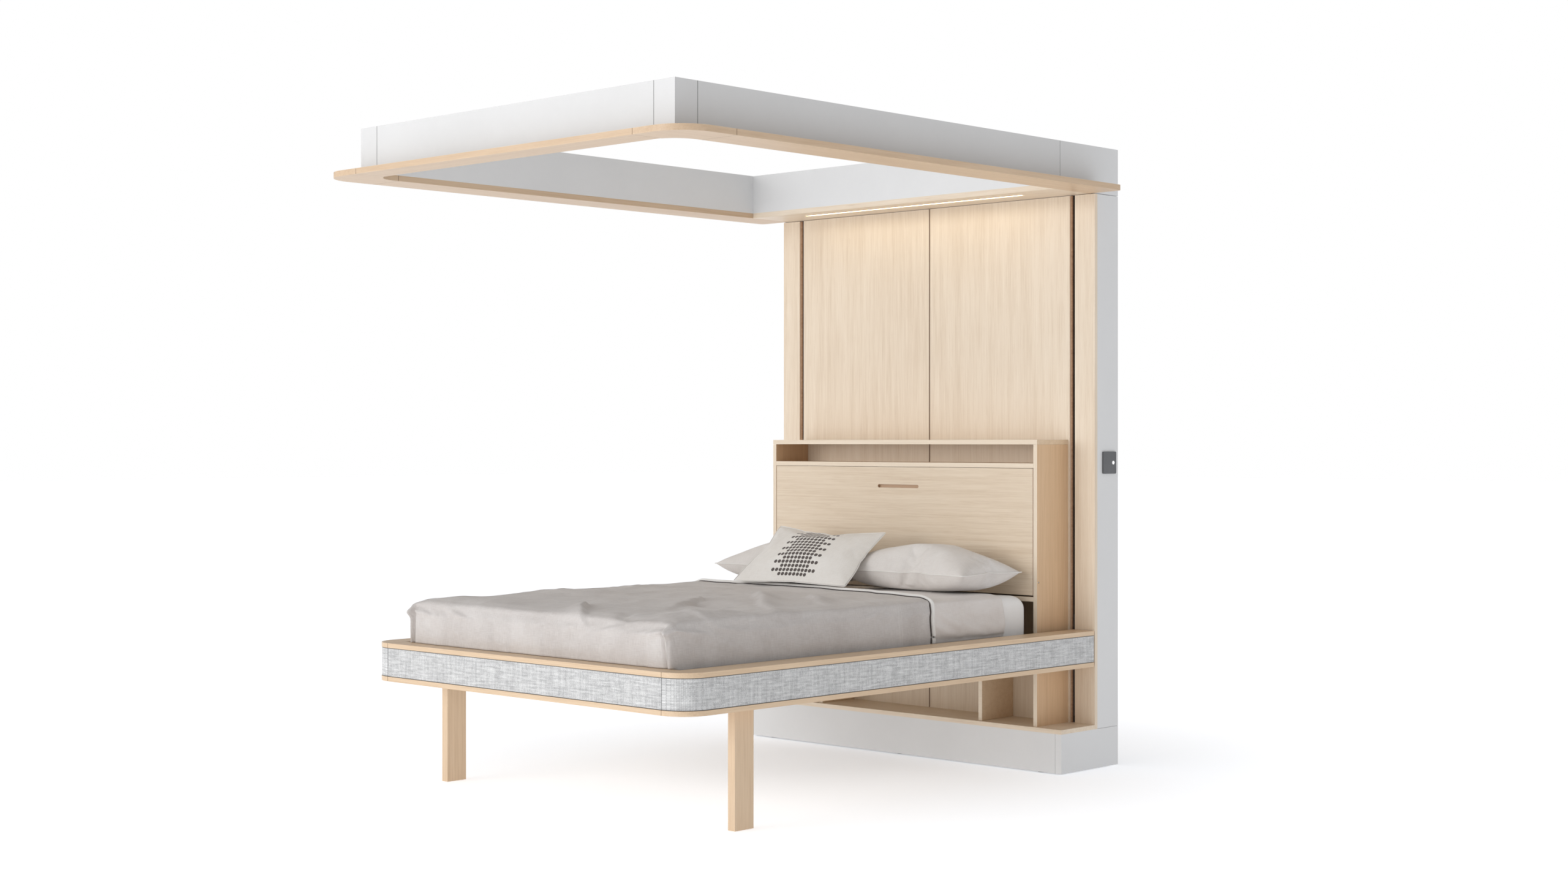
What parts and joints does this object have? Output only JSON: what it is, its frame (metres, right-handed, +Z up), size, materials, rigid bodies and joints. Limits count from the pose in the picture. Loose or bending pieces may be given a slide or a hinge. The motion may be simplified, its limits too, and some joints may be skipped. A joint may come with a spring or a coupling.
{
  "type": "wall bed",
  "caption": "Powered wall bed: a full-size bed with fold-down legs lifts up a wood wall unit into a white ceiling box with a wood rim; headboard cabinet with drop-front flap.",
  "frame": {"origin": "on the floor, under the middle of the whole object's plan (the wall plane is at y = +1.255 m)", "axes": "+Z up, +Y towards the wall the bed is fixed to, +X to the right of someone who faces that wall"},
  "size_m": [1.94, 2.51, 2.438],
  "materials": {
    "oak_veneer": "satin clear-lacquered light oak veneer, vertical or horizontal fine grain",
    "oak_edge": "satin clear-lacquered light oak edging",
    "white_lacquer": "satin white lacquer on board",
    "slot_brush": "dark brown brush strip",
    "frame_steel": "dark grey powder coat",
    "track_alloy": "extruded, fine drawn lines",
    "bright_steel": "turned or brushed steel",
    "black_rubber": "matt black rubber or polyurethane",
    "motor_paint": "dark textured paint",
    "control_case": "moulded, fine texture",
    "control_face": "dark grey gloss",
    "button_white": "satin white, softly lit",
    "led_lens": "warm opal diffuser",
    "woven_grey": "heathered light grey basket weave over board",
    "ticking": "white fitted cotton sheet over the mattress",
    "duvet_linen": "warm grey washed linen",
    "sheet_linen": "pale beige linen",
    "cushion_cotton": null
  },
  "bodies": {
    "wall_unit": {"base_front": "white_lacquer", "base_sides": "white_lacquer", "plinth_top": "oak_edge", "base_frame": "frame_steel", "levelling_feet": "black_rubber", "side_panels": "white_lacquer", "stiles": "oak_veneer", "slot_brushes": "slot_brush", "wall_panels": "oak_veneer", "header_panels": "white_lacquer", "box_front": "white_lacquer", "box_sides": "white_lacquer", "box_corners": "white_lacquer", "box_liners": "white_lacquer", "box_beams": "frame_steel", "rim_front": "oak_edge", "rim_sides": "oak_edge", "rim_corners": "oak_edge", "soffit": "oak_edge", "led_profile": "track_alloy", "led_diffuser": "led_lens", "cabinet_sides": "oak_veneer", "cabinet_boards": "oak_veneer", "uprights": "frame_steel", "guide_channels": "track_alloy", "top_beam": "frame_steel", "bearing_blocks": "bright_steel", "gearmotor": "motor_paint", "lift_belts": "black_rubber", "idler_brackets": "bright_steel", "control_box": "control_case", "power_inlet": "control_case", "control_plate": "control_face", "wall_brackets": "bright_steel"},
    "drive_shaft": {"drive_shaft": "bright_steel", "drive_pulleys": "track_alloy"},
    "idlers": {"idlers": "track_alloy"},
    "control_button": {"control_button": "button_white"},
    "desk_flap": {"desk_flap": "oak_veneer", "flap_pins": "bright_steel"},
    "bed": {"carriages": "frame_steel", "side_beams": "frame_steel", "cross_beams": "frame_steel", "belt_clamps": "bright_steel", "slats": "oak_veneer", "bed_caps": "oak_edge", "bed_sills": "oak_edge", "bed_bands": "woven_grey", "mattress": "ticking", "duvet": "duvet_linen", "top_sheet": "sheet_linen", "pillow_left": "sheet_linen", "pillow_right": "sheet_linen", "accent_cushion": "cushion_cotton", "leg_pins": "bright_steel", "leg_drives": "motor_paint"},
    "upper_rollers": {"upper_rollers": "black_rubber"},
    "lower_rollers": {"lower_rollers": "black_rubber"},
    "leg_left": {"leg_left": "oak_edge"},
    "leg_right": {"leg_right": "oak_edge"}
  },
  "joints": [
    {"name": "bed_lift", "type": "slide", "parent": "wall_unit", "child": "bed", "axis": [0, 0, 1], "range_m": [0, 1.7]},
    {"name": "leg_left_fold", "type": "hinge", "parent": "bed", "child": "leg_left", "pos_m": [-0.765, -0.79, 0.475], "axis": [1, 0, 0], "range_deg": [0, 90]},
    {"name": "leg_right_fold", "type": "hinge", "parent": "bed", "child": "leg_right", "pos_m": [0.765, -0.79, 0.475], "axis": [1, 0, 0], "range_deg": [0, 90]},
    {"name": "upper_rollers_spin", "type": "hinge", "parent": "bed", "child": "upper_rollers", "pos_m": [0, 1.17, 0.555], "axis": [1, 0, 0], "continuous": true},
    {"name": "lower_rollers_spin", "type": "hinge", "parent": "bed", "child": "lower_rollers", "pos_m": [0, 1.17, 0.245], "axis": [1, 0, 0], "continuous": true},
    {"name": "drive_shaft_spin", "type": "hinge", "parent": "wall_unit", "child": "drive_shaft", "pos_m": [0, 1.17, 2.36], "axis": [1, 0, 0], "continuous": true},
    {"name": "idlers_spin", "type": "hinge", "parent": "wall_unit", "child": "idlers", "pos_m": [0, 1.17, 0.092], "axis": [1, 0, 0], "continuous": true},
    {"name": "desk_flap_drop", "type": "hinge", "parent": "wall_unit", "child": "desk_flap", "pos_m": [0, 0.908, 0.735], "axis": [1, 0, 0], "range_deg": [0, 90], "deforming": ["pillow_left", "pillow_right", "accent_cushion"]},
    {"name": "control_button_press", "type": "slide", "parent": "wall_unit", "child": "control_button", "axis": [-1, 0, 0], "range_m": [0, 0.0015], "stiffness_N_per_m": 400}
  ],
  "couplings": [
    {"joint": "leg_left_fold", "follows": "bed_lift", "rad_per_m": 0.92399},
    {"joint": "leg_right_fold", "follows": "bed_lift", "rad_per_m": 0.92399},
    {"joint": "upper_rollers_spin", "follows": "bed_lift", "rad_per_m": 28.818},
    {"joint": "lower_rollers_spin", "follows": "bed_lift", "rad_per_m": -28.818},
    {"joint": "drive_shaft_spin", "follows": "bed_lift", "rad_per_m": -38.76},
    {"joint": "idlers_spin", "follows": "bed_lift", "rad_per_m": -38.76}
  ]
}
